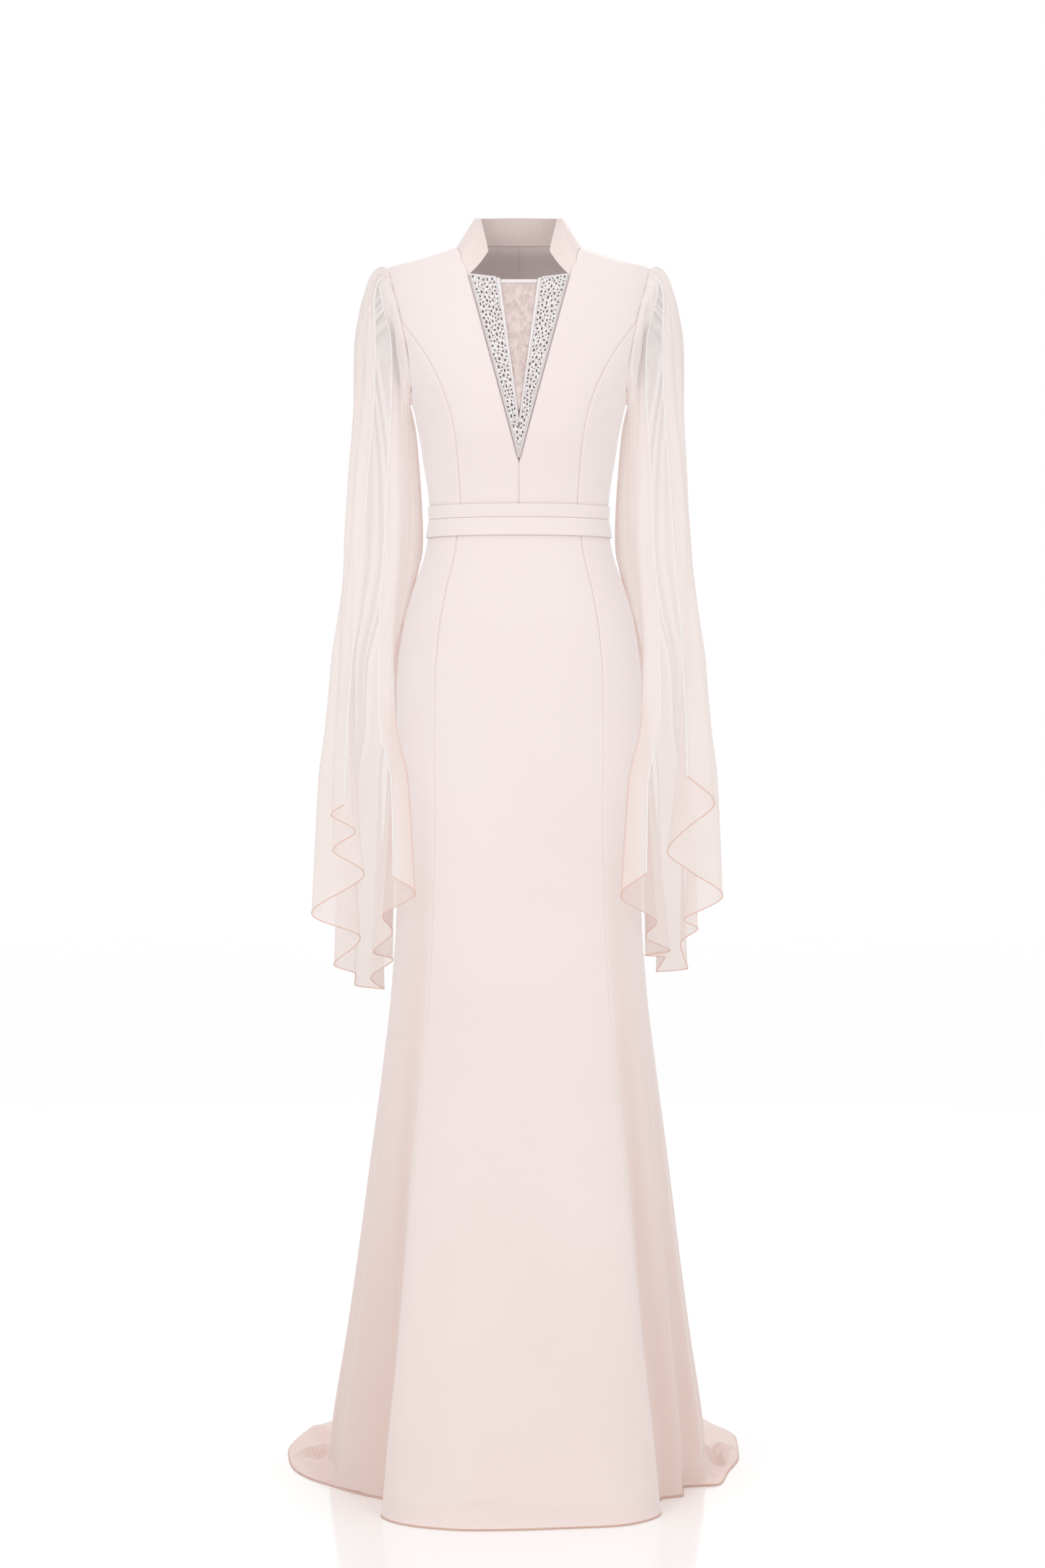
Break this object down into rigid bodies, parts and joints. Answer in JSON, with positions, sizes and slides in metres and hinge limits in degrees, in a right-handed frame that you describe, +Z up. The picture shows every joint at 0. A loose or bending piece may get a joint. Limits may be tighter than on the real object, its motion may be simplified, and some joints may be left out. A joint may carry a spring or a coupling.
{
  "type": "evening gown with split cape sleeves",
  "caption": "Floor-length evening gown worn shape, with a stand collar, V trim, waistband, split cape sleeves and a short train.",
  "frame": {"origin": "midway between the shoulder points, where the wearer's shoulders hold the gown up", "axes": "+Z up the wearer, +X to the wearer's left, and -Y the way the front faces"},
  "size_m": [0.6049, 0.8229, 1.6449],
  "materials": {
    "crepe": "smooth blush satin-backed crepe with a soft sheen",
    "chiffon": "sheer blush chiffon with a rolled edge",
    "beaded": "pale openwork embroidery with raised stitches",
    "lace": "fine lace on nude net",
    "binding": "smooth satin binding"
  },
  "bodies": {
    "root": {"bodice_back_left": "crepe", "bodice_back_right": "crepe", "bodice_front_left": "crepe", "bodice_front_right": "crepe", "bodice_side_front_left": "crepe", "bodice_side_front_right": "crepe", "insert_binding": "binding", "lace_insert": "lace", "skirt_back_left": "crepe", "skirt_back_right": "crepe", "skirt_front": "crepe", "skirt_side_left": "crepe", "skirt_side_right": "crepe", "sleeve_left": "chiffon", "sleeve_right": "chiffon", "stand_collar": "crepe", "trim_binding_left": "binding", "trim_binding_right": "binding", "v_trim_left": "beaded", "v_trim_right": "beaded", "waistband_lower": "crepe", "waistband_upper": "crepe"}
  },
  "joints": []
}
